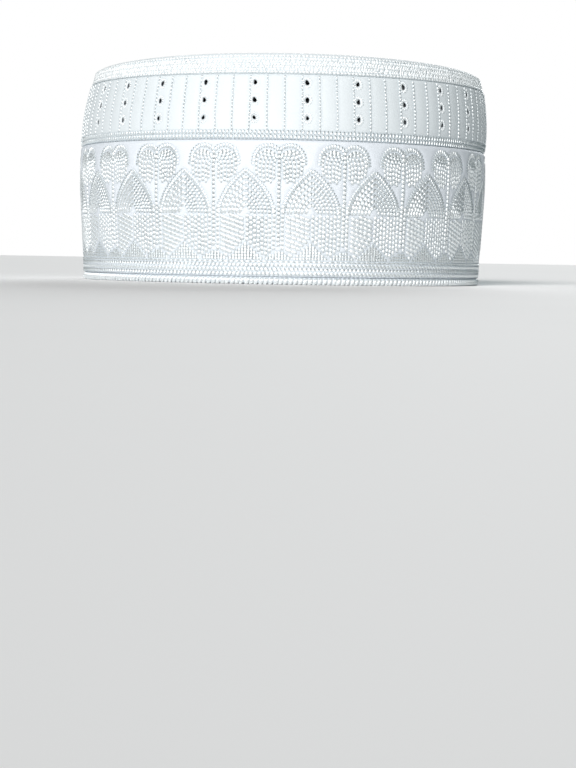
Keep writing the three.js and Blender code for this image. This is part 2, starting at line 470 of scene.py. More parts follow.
LEAF_TOP = 30.1
LEAF_TIP = 47.0
TIP_REACH = 5.7
OBLIQUE_TOP = LEAF_TOP - 2.9
OBLIQUE_SIDES = (TRUNK + 1.5, CELL / 2 - 0.5)
OBLIQUE_STEP = 1.85
OBLIQUE_FALL = 0.32
CHART_STEP = 0.4
UPRIGHT_TOP = LEAF_TOP - 0.4
UPRIGHT_SIDES = (CELL / 2 + 0.7, CELL - TRUNK - 1.7)
UPRIGHT_COLUMNS = 7
UPRIGHT_STAGGER = 0.92

GROUND_LEVELS = np.arange(41.8, 47.9, 1.15)
GROUND_COLUMNS = np.arange(-4.6, CELL - 4.7, CELL / 21)
GROUND_MARGIN = 0.9
GROUND_STITCH = (1.5, 1.3, 0.2)

BORDER_LINE = 48.8
BORDER_ROWS = (50.2, 51.9, 53.6)
BORDER_SLANT = 0.6
BORDER_SHIFT = 0.01

# Rows in the cell: pitch, width and overlap of their stitches, and how high they stand
FROND_ROW = (1.75, 1.4, 1.12)
STEM_ROW = (1.75, 1.75, 1.1)
TRUNK_ROW = (1.75, 1.7, 1.05)
LEFT_ARCH_ROW = (2.1, 1.42, 1.35)
RIGHT_ARCH_ROW = (1.55, 1.4, 1.05)
OBLIQUE_ROW = (2.1, 1.75, 1.35)
UPRIGHT_ROW = (1.85, 1.45, 1.12)
ROW_HEIGHT = 0.34
STEM_HEIGHT = 0.55

# Strokes side by side along an outline: pitch, length and width
OUTLINE_STROKES = (1.2, 2.2, 0.95)

# Rows all the way round a tier: pitch, length, width and height of their stitches
LINE_STITCH = (2.4, 2.8, 0.7, 0.4)
BORDER_STITCH = (1.85, 2.1, 1.4, 0.34)
SEAM_STITCH = (1.7, 2.1, 0.85, 0.34)
EDGE_LINE_STITCH = (1.7, 1.8, 0.85, 0.4)
ZIGZAG_STITCH = (1.3, 1.7, 0.9, 0.36)


def run(rows, points, pitch, width, overlap, height=ROW_HEIGHT, lay=0.0):
    """Stitches end to end along a line, as (middle x, y, turn, length, width, height, lay)."""
    middles, turns, lengths = stepped(points, pitch)
    for (x, y), turn, length in zip(middles, turns, lengths):
        rows.append((x, y, turn, length * overlap, width, height, lay))


def strokes(rows, points, pitch, length, width):
    """Short stitches side by side, square to a line."""
    middles, turns, _ = stepped(points, pitch)
    for (x, y), turn in zip(middles, turns):
        rows.append((x, y, turn + math.pi / 2, length, width, ROW_HEIGHT, 0.0))


def frond(spread, shortened):
    """A frond's line, which droops from the stem's head, closer to the stem with less spread."""
    slack = 1 - spread
    return [(0.5, STEM_HEAD - 0.2),
            (4.3 * spread, 4.2 + 3.2 * slack),
            (8.5 * spread, 6.1 + 5.2 * slack),
            (9.4 * spread, 10.0 + 4.0 * slack),
            (8.9 * spread, 14.2 + 14 * slack * spread - 0.9 * shortened)]


def canopy_rows():
    """A palm's crown: a two-lobed outline of short strokes over its fronds."""
    rows = []
    for side in (-1, 1):
        strokes(rows, eased_curve(CANOPY) * (side, 1), *OUTLINE_STROKES)
        for i, spread in enumerate(FROND_SPREADS):
            run(rows, eased_curve(frond(spread, i % 2)) * (side, 1), *FROND_ROW)
    return [narrowed(row) for row in rows]


def narrowed(row):
    """A canopy stitch, made narrower where the fronds run together at the stem's head."""
    x, y, turn, length, width, height, lay = row
    if y < CROWDED_LEVEL:
        width = min(width, CROWDED_WIDTH + CROWDED_WIDENING * math.hypot(x, y - STEM_HEAD))
    return x, y, turn, length, width, height, lay


def stem_rows():
    """A palm's stem: one raised row, and a lower one on each side from the arches down."""
    rows = []
    run(rows, [(0, STEM_TOP), (0, STEM_END)], *STEM_ROW, STEM_HEIGHT)
    for side in (-1, 1):
        run(rows, [(side * TRUNK, TRUNK_TOP), (side * TRUNK, leaf_floor(TRUNK))], *TRUNK_ROW)
    return rows


def arch_rows():
    """A pointed arch: strokes along its outline, then rows one inside the other, long on the left."""
    rows = []
    middle = np.array((CELL / 2, ARCH_FOOT))
    for side, sizes in ((-1, LEFT_ARCH_ROW), (1, RIGHT_ARCH_ROW)):
        curve = eased_curve(ARCH) * (side, 1)
        strokes(rows, middle + curve, *OUTLINE_STROKES)
        for scale in ARCH_SCALES:
            run(rows, middle + curve * scale, *sizes)
    return rows


def leaf_floor(x):
    """Lower outline of the leaves: a low notch under each stem, two tips and a high notch between them."""
    beside = min(x % CELL, -x % CELL)
    if beside < TIP_REACH:
        return STEM_NOTCH + (LEAF_TIP - STEM_NOTCH) * beside / TIP_REACH
    return LEAF_TIP + (ARCH_NOTCH - LEAF_TIP) * (beside - TIP_REACH) / (CELL / 2 - TIP_REACH)


def leaf_rows():
    """The left leaf in oblique rows and the right leaf in upright rows."""
    rows = []
    stops = np.arange(*OBLIQUE_SIDES, CHART_STEP)
    for start in np.arange(OBLIQUE_TOP, LEAF_TIP, OBLIQUE_STEP):
        line = [(x, start + OBLIQUE_FALL * (x - OBLIQUE_SIDES[0])) for x in stops]
        kept = [(x, y) for x, y in line if LEAF_TOP <= y <= leaf_floor(x)]
        if len(kept) > 3:
            run(rows, kept, *OBLIQUE_ROW, lay=WOUND)
    for column, x in enumerate(np.linspace(*UPRIGHT_SIDES, UPRIGHT_COLUMNS)):
        top = UPRIGHT_TOP + UPRIGHT_STAGGER * (column % 2)
        run(rows, [(x, top), (x, leaf_floor(x))], *UPRIGHT_ROW)
    return rows


def ground_rows():
    """Small low stitches that fill the notches between the leaf tips."""
    rows = []
    for y in GROUND_LEVELS:
        for x in GROUND_COLUMNS:
            if y > leaf_floor(x) + GROUND_MARGIN:
                rows.append((x, y, 0.0, *GROUND_STITCH, 0.0))
    return rows


def repeated(rows):
    """One cell's stitches, repeated round the lower band."""
    cell = np.array(rows)
    share = 1 - cell[:, 1] / BAND
    length, width, height = (cell[:, 3:6] * MM).T
    turn_per_mm = FULL_TURN / FIGURES / CELL
    tables = []
    for figure in range(FIGURES):
        angle = (figure * CELL + cell[:, 0]) * turn_per_mm + FIGURE_TURN
        tables.append(stitch_table(angle, share, -cell[:, 2], length, width, height, cell[:, 6]))
    return loosened(np.vstack(tables), *FIGURE_STRAY)


def ring_row(share, turn, sizes, start=0.0):
    """One row of stitches all the way round a tier."""
    pitch, length, width, height = (size * MM for size in sizes)
    count = round(FULL_TURN * MEAN_RADIUS / pitch)
    angle = start + np.arange(count) * FULL_TURN / count
    return stitch_table(angle, share, turn, length, width, height)


def border_rows():
    """A fine line with three slanted rows below it."""
    rows = [ring_row(1 - BORDER_LINE / BAND, 0, LINE_STITCH)]
    for i, drop in enumerate(BORDER_ROWS):
        slant = BORDER_SLANT if i % 2 else -BORDER_SLANT
        rows.append(ring_row(1 - drop / BAND, slant, BORDER_STITCH, i * BORDER_SHIFT))
    return [loosened(row, *NEAT) for row in rows]


# Upper band: upright dotted rows, eyelets and the slanted rows above the seam

EYELET_RADIUS = (0.95 * MM, 1.25 * MM)
EYELET_SPOKES = 12
SPOKE_OFFSET = 0.62 * MM
SPOKE_STITCH = (1.1 * MM, 0.7 * MM, 0.22 * MM)
PANEL_ROWS = 3 * EYELET_COLUMNS
PANEL_ENDS = (0.17, 0.985)
PANEL_PITCH = 1.5 * MM
PANEL_STITCH = (1.4 * MM, 0.75 * MM, 0.36 * MM)
ROW_OFFSET = -2.1 * MM
SEAM_ROWS = (0.035, 0.105)
SEAM_LEAN = 0.5


def eyelet_places():
    """Angles of the eyelet columns and shares of their rows."""
    lowest = EYELET_BOTTOM_MARGIN / UPPER_HEIGHT
    highest = 1 - EYELET_TOP_MARGIN / UPPER_HEIGHT
    shares = np.linspace(lowest, highest, EYELET_ROWS)
    angles = (np.arange(EYELET_COLUMNS) + 0.5) * FULL_TURN / EYELET_COLUMNS + EYELET_TURN
    return angles, shares


def panel_rows():
    """Upright dotted rows, three to each column of eyelets."""
    first = eyelet_places()[0][0] + ROW_OFFSET / MEAN_RADIUS
    angles = first + np.arange(PANEL_ROWS) * FULL_TURN / PANEL_ROWS
    shares = np.arange(*PANEL_ENDS, PANEL_PITCH / UPPER_HEIGHT)
    grid_angle, grid_share = np.meshgrid(angles, shares)
    return loosened(stitch_table(grid_angle, grid_share, math.pi / 2, *PANEL_STITCH), *PANEL_STRAY)


def eyelet_rings():
    """Buttonhole stitches that point at each hole's middle."""
    angles, shares = eyelet_places()
    turn = np.arange(EYELET_SPOKES) * FULL_TURN / EYELET_SPOKES
    across = EYELET_RADIUS[0] + SPOKE_OFFSET
    up = EYELET_RADIUS[1] + SPOKE_OFFSET
    tables = []
    for angle in angles:
        for share in shares:
            spoke_angle = angle + across * np.cos(turn) / MEAN_RADIUS
            spoke_share = share + up * np.sin(turn) / UPPER_HEIGHT
            tables.append(stitch_table(spoke_angle, spoke_share, turn, *SPOKE_STITCH))
    return loosened(np.vstack(tables), *SPOKE_STRAY)


def seam_rows():
    """Two rows above the seam, whose stitches lean the same way."""
    rows = []
    for share in SEAM_ROWS:
        rows.append(loosened(ring_row(share, math.pi / 2 - SEAM_LEAN, SEAM_STITCH), *SEAM_STRAY))
    return rows


# Crown edge and crown

EDGE_LINES = (0.08, 0.88)
ZIGZAG_ROWS = (0.21, 0.34, 0.47, 0.6, 0.73)
ZIGZAG_SLANT = 0.85
ZIGZAG_SHIFT = 0.005
CHAIN_SHARES = np.arange(0.05, 0.99, 0.0665)
CHAIN_STITCH = (2.1 * MM, 1.15 * MM, 0.45 * MM)
CROWN_RADIUS = MEAN_RADIUS * 0.92
FEWEST_CHAIN = 8


def edge_rows():
    """Dense zigzag rows of uneven stitches between two straight ones."""
    lines = [ring_row(share, 0, EDGE_LINE_STITCH) for share in EDGE_LINES]
    zigzag = []
    for i, share in enumerate(ZIGZAG_ROWS):
        slant = ZIGZAG_SLANT if i % 2 else -ZIGZAG_SLANT
        zigzag.append(ring_row(share, slant, ZIGZAG_STITCH, i * ZIGZAG_SHIFT))
    uneven = loosened(np.vstack(zigzag), *ZIGZAG_STRAY)
    return [loosened(np.vstack(lines), *EDGE_LINE_STRAY), uneven]


def crown_rows():
    """Oval rows of chain stitch, one inside the other."""
    tables = []
    for share in CHAIN_SHARES:
        count = max(FEWEST_CHAIN, round(FULL_TURN * (CROWN_RADIUS * (1 - share)) / CHAIN_STITCH[0]))
        angle = np.arange(count) * FULL_TURN / count
        tables.append(stitch_table(angle, share, 0, *CHAIN_STITCH))
    return [loosened(np.vstack(tables), *NEAT)]


# Materials

WEFT_SLANT = 0.4
WEFT_SPACING = 0.45
WEFT_DEPTH = 0.6
COARSE_DRIFT = 0.6
FINE_DRIFT = 0.4

SATIN_GLOSS = 0.03
SATIN_SPECULAR = 0.5
SATIN_ROUGHER = 0.08
SATIN_SMOOTHER = 0.06
WEAVE_BUMP = 0.35
CLOTH_SHEEN = 0.1
CLOTH_SHEEN_ROUGHNESS = 0.4
# Colour of the shade painted on the cloth among the stitches
STITCH_SHADE_TONE = (0.49, 0.56, 0.6)
# Colour of the shade painted inside the eyelets
EYELET_SHADE_TONE = (0.05, 0.06, 0.07)

STRANDS_AROUND = 20
STRANDS_ALONG = 9
STRAND_BUMP = 0.3
STRAND_DEPTH = 0.00006
THREAD_TONE_SPREAD = 0.3
# How sharply the painted shade gathers at each stitch's ends
THREAD_END_SHADE_SHARPNESS = 5
THREAD_ROUGHNESS = (0.51, 0.4)
THREAD_ANISOTROPY = 0.85
THREAD_SPECULAR = 0.8
THREAD_SHEEN = 0.1
THREAD_LIGHT = (0.94, 0.985, 0.995)
THREAD_SHADE = (0.875, 0.94, 0.96)


def node(tree, kind, inputs=None, **settings):
    """A shader node with its settings, and each input either linked or set."""
    made = tree.nodes.new(kind)
    for name, value in settings.items():
        setattr(made, name, value)
    for name, value in (inputs or {}).items():
        socket = made.inputs[name]
        if isinstance(value, bpy.types.NodeSocket):
            tree.links.new(value, socket)
        else:
            socket.default_value = value
    return made


def math_node(tree, operation, *values):
    return node(tree, "ShaderNodeMath", dict(enumerate(values)), operation=operation).outputs[0]


def group(name, inputs, outputs):
    """A shader node group with its named inputs and outputs."""
    made = bpy.data.node_groups.new(name, "ShaderNodeTree")
    for label, kind, value in inputs:
        socket = made.interface.new_socket(label, in_out="INPUT", socket_type=kind)
        if value is not None:
            socket.default_value = value
    for label, kind in outputs:
        made.interface.new_socket(label, in_out="OUTPUT", socket_type=kind)
    return made, made.nodes.new("NodeGroupInput").outputs, made.nodes.new("NodeGroupOutput").inputs


def satin_weave_group():
    """Long satin floats with fine cross threads: a height for the bump."""
    tree, given, out = group(
        "satin_weave",
        [("Place", "NodeSocketVector", None), ("Threads per metre", "NodeSocketFloat", 2600)],
        [("Height", "NodeSocketFloat")])
    split = node(tree, "ShaderNodeSeparateXYZ", {0: given["Place"]}).outputs
    turns = math_node(tree, "MULTIPLY", given["Threads per metre"], FULL_TURN)
    warp = math_node(tree, "SINE", math_node(tree, "MULTIPLY", split["X"], turns))
    slanted = math_node(tree, "ADD", split["Y"], math_node(tree, "MULTIPLY", split["X"], WEFT_SLANT))
    weft_turns = math_node(tree, "MULTIPLY", turns, WEFT_SPACING)
    weft = math_node(tree, "SINE", math_node(tree, "MULTIPLY", slanted, weft_turns))
    both = math_node(tree, "ADD", warp, math_node(tree, "MULTIPLY", weft, WEFT_DEPTH))
    tree.links.new(both, out["Height"])
    return tree


def tone_drift_group():
    """Slow and fine changes of tone over the cloth, from 0 to 1."""
    tree, given, out = group(
        "tone_drift",
        [("Place", "NodeSocketVector", None),
         ("Coarse", "NodeSocketFloat", 30),
         ("Fine", "NodeSocketFloat", 900)],
        [("Tone", "NodeSocketFloat")])
    place = given["Place"]
    coarse = node(tree, "ShaderNodeTexNoise", {"Vector": place, "Scale": given["Coarse"], "Detail": 3})
    fine = node(tree, "ShaderNodeTexNoise", {"Vector": place, "Scale": given["Fine"], "Detail": 2})
    mixed = math_node(tree, "ADD", math_node(tree, "MULTIPLY", coarse.outputs[0], COARSE_DRIFT),
                      math_node(tree, "MULTIPLY", fine.outputs[0], FINE_DRIFT))
    tree.links.new(mixed, out["Tone"])
    return tree


def shader(name):
    """A new material with its node tree and its Principled shader."""
    material = bpy.data.materials.new(name)
    material.use_nodes = True
    tree = material.node_tree
    return material, tree, tree.nodes["Principled BSDF"]


def blended(tree, factor, low, high):
    """A colour between two, each a plain colour or the output of a node."""
    made = node(tree, "ShaderNodeMix", {"Factor": factor}, data_type="RGBA")
    for name, value in (("A", low), ("B", high)):
        if isinstance(value, bpy.types.NodeSocket):
            tree.links.new(value, made.inputs[name])
        else:
            made.inputs[name].default_value = (*value, 1)
    return made.outputs["Result"]


def placed_drift(tree):
    """The tone drift at each place of the cap."""
    place = node(tree, "ShaderNodeTexCoord").outputs["Object"]
    drift = node(tree, "ShaderNodeGroup", node_tree=TONE_DRIFT)
    tree.links.new(place, drift.inputs["Place"])
    return drift.outputs["Tone"]


def satin_material(name, light, shade, roughness, threads, depth):
    """Woven satin: the weave's bump, a soft sheen, a slightly uneven tone and painted shade among the
    stitches.
    """
    material, tree, surface = shader(name)
    weave = node(tree, "ShaderNodeGroup", node_tree=SATIN_WEAVE)
    tree.links.new(node(tree, "ShaderNodeUVMap", uv_map="weave").outputs[0], weave.inputs["Place"])
    weave.inputs["Threads per metre"].default_value = threads
    drift = placed_drift(tree)
    # Painted shade: up to 1 among the stitches
    painted_shade = node(tree, "ShaderNodeAttribute", attribute_name="painted_shade").outputs["Fac"]
    # Above 1 the painted shade turns into the shade painted inside the eyelets, full from 2
    eyelet_shade = node(tree, "ShaderNodeMapRange", {"Value": painted_shade, "From Min": 1, "From Max": 2}).outputs[0]
    shaded = blended(tree, painted_shade, blended(tree, drift, shade, light), STITCH_SHADE_TONE)
    tree.links.new(blended(tree, eyelet_shade, shaded, EYELET_SHADE_TONE), surface.inputs["Base Color"])
    rough = node(tree, "ShaderNodeMapRange", {"Value": drift, "To Min": roughness + SATIN_ROUGHER,
                                              "To Max": roughness - SATIN_SMOOTHER})
    tree.links.new(rough.outputs[0], surface.inputs["Roughness"])
    bump = node(tree, "ShaderNodeBump", {"Height": weave.outputs["Height"], "Strength": WEAVE_BUMP,
                                         "Distance": depth})
    tree.links.new(bump.outputs[0], surface.inputs["Normal"])
    surface.inputs["Metallic"].default_value = SATIN_GLOSS
    surface.inputs["Specular IOR Level"].default_value = SATIN_SPECULAR
    surface.inputs["Sheen Weight"].default_value = CLOTH_SHEEN
    surface.inputs["Sheen Roughness"].default_value = CLOTH_SHEEN_ROUGHNESS
    return material


def thread_material(name, light, shade, end_shade, gloss):
    """Lustrous thread: twisted strands along each stitch, with shade painted where it dives into the cloth.
    """
    material, tree, surface = shader(name)
    values = node(tree, "ShaderNodeAttribute", attribute_name="stitch").outputs["Vector"]
    along, around, tone = node(tree, "ShaderNodeSeparateXYZ", {0: values}).outputs
    twist = math_node(tree, "ADD", math_node(tree, "MULTIPLY", around, STRANDS_AROUND),
                      math_node(tree, "MULTIPLY", along, STRANDS_ALONG))
    strands = math_node(tree, "SINE", twist)
    drift = placed_drift(tree)
    mixed_tone = math_node(tree, "ADD", drift, math_node(tree, "MULTIPLY", tone, THREAD_TONE_SPREAD))
    # Shade painted towards each end of a stitch, where it dives into the cloth
    end_shading = math_node(tree, "POWER", math_node(tree, "ABSOLUTE", along), THREAD_END_SHADE_SHARPNESS)
    darkened = blended(tree, end_shading, blended(tree, mixed_tone, shade, light), end_shade)
    tree.links.new(darkened, surface.inputs["Base Color"])
    rough = node(tree, "ShaderNodeMapRange", {"Value": drift, "To Min": THREAD_ROUGHNESS[0],
                                              "To Max": THREAD_ROUGHNESS[1]})
    tree.links.new(rough.outputs[0], surface.inputs["Roughness"])
    bump = node(tree, "ShaderNodeBump", {"Height": strands, "Strength": STRAND_BUMP,
                                         "Distance": STRAND_DEPTH})
    tree.links.new(bump.outputs[0], surface.inputs["Normal"])
    across = node(tree, "ShaderNodeAttribute", attribute_name="across").outputs["Vector"]
    tree.links.new(across, surface.inputs["Tangent"])
    surface.inputs["Metallic"].default_value = gloss
    surface.inputs["Anisotropic"].default_value = THREAD_ANISOTROPY
    surface.inputs["Specular IOR Level"].default_value = THREAD_SPECULAR
    surface.inputs["Sheen Weight"].default_value = THREAD_SHEEN
    return material


# Pieces

# Steps round each wall, rows of faces outside and inside, how full its folds are over the top and under
# the bottom, and the reach and height of its swelling between stitches
LOWER_SEGMENTS = 702
LOWER_OUTSIDE = np.linspace(0.02, 0.98, 66)
LOWER_INSIDE = (0.05, 0.3, 0.6, 0.95)
LOWER_FOLDS = (0.7, 0.35)
LOWER_PUFF = (2.6 * MM, 0.4 * MM)
UPPER_FOLDS = (0.4, 0.25)
UPPER_PUFF = (3.0 * MM, 0.16 * MM)
EDGE_SEGMENTS = 468
EDGE_OUTSIDE = np.linspace(0.14, 0.86, 9)
EDGE_INSIDE = (0.25, 0.75)
EDGE_FOLDS = (0.6, 0.25)
EDGE_PUFF = (1.5 * MM, 0.15 * MM)
CROWN_SEGMENTS = 312
CROWN_TOP_ROWS = 84
CROWN_UNDER_ROWS = 12
CROWN_PUFF = (2.8 * MM, 0.35 * MM)
ROLL_SEGMENTS = 468
ROLL_SIDES = 12


def lower_band(tables):
    """The tall band's cloth, folded over at the seam and under at the rim."""
    section = folded_section(LOWER_WALL, LOWER_HEIGHT, LOWER_OUTSIDE, LOWER_INSIDE, *LOWER_FOLDS)
    field = relief_field(lower_surface, tables)
    bm = turned(section, LOWER_SEGMENTS)
    mesh = pressed("lower_band_cloth", bm, lower_surface, LOWER_HEIGHT, field, *LOWER_PUFF)
    return finished("lower_band_cloth", mesh, SATIN, "lower_band")


GRID_STEP = 0.8 * MM
HALF_BLOCK = 1.55 * GRID_STEP
EYELET_SEGMENTS = 27
# Level of the shade painted on the inner half of each eyelet's wall, full from 2 up
EYELET_SHADE_LEVEL = 20.0
EYELET_SIZES = (0.82, 1.0, 0.9)
EYELET_SWING = 0.6
EYELET_SPREAD = (0.85, 1.1)
TEARDROP = 0.4
TEARDROP_WAVE = 0.2


def eyelet_grid():
    """Row shares of the upper band, with three even rows of faces at each row of eyelets."""
    step = GRID_STEP / UPPER_HEIGHT
    stops = [0.035, 0.965]
    for share in eyelet_places()[1]:
        stops.extend(share + step * np.array([-1.5, -0.5, 0.5, 1.5]))
    stops = sorted(stops)
    rows = [stops[0]]
    for low, high in zip(stops, stops[1:]):
        count = max(1, math.ceil((high - low) / (1.05 * step)))
        rows.extend(np.linspace(low, high, count + 1)[1:])
    return rows


def nearest_eyelet(place, angles, shares):
    """The eyelet nearest to a place of the turned band, and how far across and up the place lies from it."""
    turn = math.atan2(place.x, -place.y)
    spacing = FULL_TURN / EYELET_COLUMNS
    column = round((turn - angles[0]) / spacing) % EYELET_COLUMNS
    across = ((turn - angles[column] + math.pi) % FULL_TURN - math.pi) * MEAN_RADIUS
    row = int(np.argmin(np.abs(shares - place.z)))
    return (column, row), across, (place.z - shares[row]) * UPPER_HEIGHT


def pierce(bm):
    """Cuts eyelets through both faces of the turned upper band, closes their walls and paints shade in them.
    """
    angles, shares = eyelet_places()
    eyelet_shade = bm.verts.layers.float.new("eyelet_shade")
    block = []
    for face in bm.faces:
        _, across, up = nearest_eyelet(face.calc_center_median(), angles, shares)
        if abs(across) < HALF_BLOCK and abs(up) < HALF_BLOCK:
            block.append(face)
    bmesh.ops.delete(bm, geom=block, context="FACES")
    rims = {}
    for edge in bm.edges:
        if edge.is_boundary:
            middle = (edge.verts[0].co + edge.verts[1].co) / 2
            rims.setdefault(nearest_eyelet(middle, angles, shares)[0], []).append(edge)
    for (_, row), rim in sorted(rims.items(), key=lambda item: item[0]):
        swing = random.uniform(-EYELET_SWING, EYELET_SWING)
        size = random.uniform(*EYELET_SPREAD) * EYELET_SIZES[row]
        corners = {vert for edge in rim for vert in edge.verts}
        shape_eyelet(corners, angles, shares, swing, size)
        for vert in corners:
            # Shade is painted on the inner half of each wall, where the closed inside of the cap lies in
            # shade
            if math.hypot(vert.co.x, vert.co.y) < TURN_RADIUS - UPPER_WALL / 2:
                vert[eyelet_shade] = EYELET_SHADE_LEVEL
        bmesh.ops.bridge_loops(bm, edges=rim)


def shape_eyelet(corners, angles, shares, swing, size):
    """Draws an eyelet's square opening into a leaning teardrop."""
    for vert in corners:
        (column, row), across, up = nearest_eyelet(vert.co, angles, shares)
        radius = math.hypot(vert.co.x, vert.co.y)
        heading = math.atan2(up, across)
        wave = TEARDROP_WAVE * math.sin(3 * heading + 9 * swing)
        narrowing = 1 - TEARDROP * max(0, math.sin(heading)) + wave
        wide = size * EYELET_RADIUS[0] * narrowing * math.cos(heading)
        tall = size * EYELET_RADIUS[1] * math.sin(heading)
        turn = angles[column] + (wide * math.cos(swing) - tall * math.sin(swing)) / MEAN_RADIUS
        lifted = shares[row] + (wide * math.sin(swing) + tall * math.cos(swing)) / UPPER_HEIGHT
        vert.co = (radius * math.sin(turn), -radius * math.cos(turn), lifted)


def upper_band(tables):
    """The plain band's cloth, with its eyelets cut through."""
    rows = eyelet_grid()
    segments = EYELET_SEGMENTS * EYELET_COLUMNS
    start = eyelet_places()[0][0] - FULL_TURN / segments / 2
    section = folded_section(UPPER_WALL, UPPER_HEIGHT, rows, rows, *UPPER_FOLDS)
    bm = turned(section, segments, start)
    pierce(bm)
    field = relief_field(upper_surface, tables)
    mesh = pressed("upper_band_cloth", bm, upper_surface, UPPER_HEIGHT, field, *UPPER_PUFF)
    return finished("upper_band_cloth", mesh, UPPER_SATIN, "upper_band")


def crown_edge(tables):
    """The narrow strip that stands up round the crown."""
    section = folded_section(EDGE_WALL, EDGE_HEIGHT_BACK, EDGE_OUTSIDE, EDGE_INSIDE, *EDGE_FOLDS)
    bm = turned(section, EDGE_SEGMENTS)
    field = relief_field(edge_surface, tables)
    mesh = pressed("crown_edge_cloth", bm, edge_surface, EDGE_HEIGHT_FRONT, field, *EDGE_PUFF)
    return finished("crown_edge_cloth", mesh, UPPER_SATIN, "crown_edge")


def crown(tables):
    """The oval crown: a section of (reach, lift) from the middle over the rim's fold and back below."""
    fold = CROWN_WALL / 2
    rim_reach = 1 - fold / TOP_OVAL[0]
    turns = np.linspace(0, math.pi, 7)[1:-1]
    top = [(reach, 0.0) for reach in np.linspace(0, rim_reach, CROWN_TOP_ROWS)]
    rim = [(rim_reach + (1 - rim_reach) * math.sin(t), fold * math.cos(t) - fold) for t in turns]
    underside = [(reach, -CROWN_WALL) for reach in np.linspace(rim_reach, 0, CROWN_UNDER_ROWS)]
    bm = bmesh.new()
    verts = [bm.verts.new((reach * TURN_RADIUS, 0, lift)) for reach, lift in [*top, *rim, *underside]]
    edges = [bm.edges.new(pair) for pair in zip(verts, verts[1:])]
    bmesh.ops.spin(bm, geom=[*verts, *edges], cent=(0, 0, 0), axis=(0, 0, 1), angle=FULL_TURN,
                   steps=CROWN_SEGMENTS, use_merge=True)
    bmesh.ops.remove_doubles(bm, verts=bm.verts, dist=1e-7)
    bm.verts.index_update()
    places = np.array([vert.co for vert in bm.verts], float)
    angle = np.arctan2(places[:, 0], -places[:, 1])
    share = 1 - np.hypot(places[:, 0], places[:, 1]) / TURN_RADIUS
    lift = places[:, 2].copy()
    shown = lift > -1e-6
    field = relief_field(crown_surface, tables)
    distance, shade = nearest(field, crown_surface(angle[shown], share[shown], np.zeros(shown.sum())))
    lift[shown] += puffed(distance, *CROWN_PUFF)
    # Shade painted on the crown's top among the stitches
    painted_shade = np.zeros(len(lift))
    painted_shade[shown] = shade_among_stitches(distance, shade)
    mesh = settled("crown_cloth", bm, crown_surface(angle, share, lift), angle, share * MEAN_RADIUS, painted_shade)
    return finished("crown_cloth", mesh, CROWN_SATIN, "crown")


def rim_surface(angle, share, lift):
    return blended_oval(RIM_OVAL, RIM_OVAL, 0, lift, angle, RIM_LOW + share * (RIM_HIGH - RIM_LOW))


WHIP_PITCH = 2.1 * MM
WHIP_WIDTH = 1.02 * MM
WHIP_THICK = 0.42 * MM
WHIP_SLANT = 0.9 * MM
WHIP_STRAY = 0.08 * MM
WHIP_SPREAD = (0.9, 1.1)
WHIP_TAPER = 0.35
WHIP_SECTION = 0.25
WHIP_START = math.radians(-115)
WHIP_SWEEP = math.radians(215)
WHIP_MIDDLE = math.radians(7.5)
WHIP_HALF_SWEEP = math.radians(107.5)
WHIP_BENDS = 7
ROLL_HALF = (LOWER_WALL / 2 + WHIPPING_BULGE, 1.62 * MM)


def rim_roll():
    """The cloth inside the whipping: a plump closed roll under the lower band."""
    height = RIM_HIGH - RIM_LOW
    half_wall = ROLL_HALF[0] - WHIP_THICK
    low, high = WHIP_THICK / height, 1 + FOLD_REACH / height
    section = [(LOWER_WALL / 2 + half_wall * math.cos(t), (low + high) / 2 + (high - low) / 2 * math.sin(t))
               for t in np.arange(0, FULL_TURN, FULL_TURN / ROLL_SIDES)]
    mesh = pressed("rim_roll", turned(section, ROLL_SEGMENTS), rim_surface, height)
    return finished("rim_roll", mesh, SATIN, "rim_binding")


def whip_shape():
    """One whipping stitch bent round the X axis: a six-sided section carried three fifths of a turn."""
    bm = bmesh.new()
    section = bmesh.ops.create_circle(bm, segments=6, radius=WHIP_SECTION, cap_ends=True,
                                      matrix=Matrix.Translation((0, 1, 0)))
    faces = list(bm.faces)
    bmesh.ops.rotate(bm, cent=(0, 0, 0), matrix=Matrix.Rotation(WHIP_START, 3, "X"), verts=section["verts"])
    bmesh.ops.spin(bm, geom=faces, cent=(0, 0, 0), axis=(1, 0, 0), angle=WHIP_SWEEP, steps=WHIP_BENDS)
    return bm


def rim_whipping():
    """Slanted overcast stitches, side by side round the rim's roll."""
    corners, triangles = unit_shape(whip_shape())
    across = corners[:, 0] / WHIP_SECTION
    bend = np.arctan2(corners[:, 2], corners[:, 1])
    depth = np.hypot(corners[:, 1], corners[:, 2])
    reach = (bend + WHIP_MIDDLE) / WHIP_HALF_SWEEP
    taper = 1 - WHIP_TAPER * np.abs(reach) ** 3
    count = round(FULL_TURN * MEAN_RADIUS / WHIP_PITCH)
    base = np.arange(count) * FULL_TURN / count + random.normal(0, WHIP_STRAY / MEAN_RADIUS, count)
    slack = random.uniform(*WHIP_SPREAD, count)
    sideways = across * WHIP_WIDTH * taper + reach * WHIP_SLANT
    angle = base[:, None] + sideways[None] / MEAN_RADIUS
    raised = (depth - 1) / WHIP_SECTION * WHIP_THICK / 2 - WHIP_THICK / 2
    out = (ROLL_HALF[0] + raised[None] * slack[:, None]) * np.cos(bend)[None]
    up = (ROLL_HALF[1] + raised[None] * slack[:, None]) * np.sin(bend)[None]
    level = np.maximum(RIM_LOW, (RIM_LOW + RIM_HIGH) / 2 + up)
    places = blended_oval(RIM_OVAL, RIM_OVAL, 0, out - LOWER_WALL / 2, angle, level)
    stitch = np.empty((count, len(corners), 3))
    # Along each whipping stitch, for the thread's shade painted towards its ends
    stitch[..., 0] = reach
    stitch[..., 1] = across
    stitch[..., 2] = random.uniform(-1, 1, count)[:, None]
    aside = np.stack([np.cos(angle), np.sin(angle), np.zeros_like(angle)], axis=-1)
    mesh = joined_mesh("rim_whipping", places, triangles, stitch, aside)
    return finished("rim_whipping", mesh, THREAD)


# Stage, light and camera

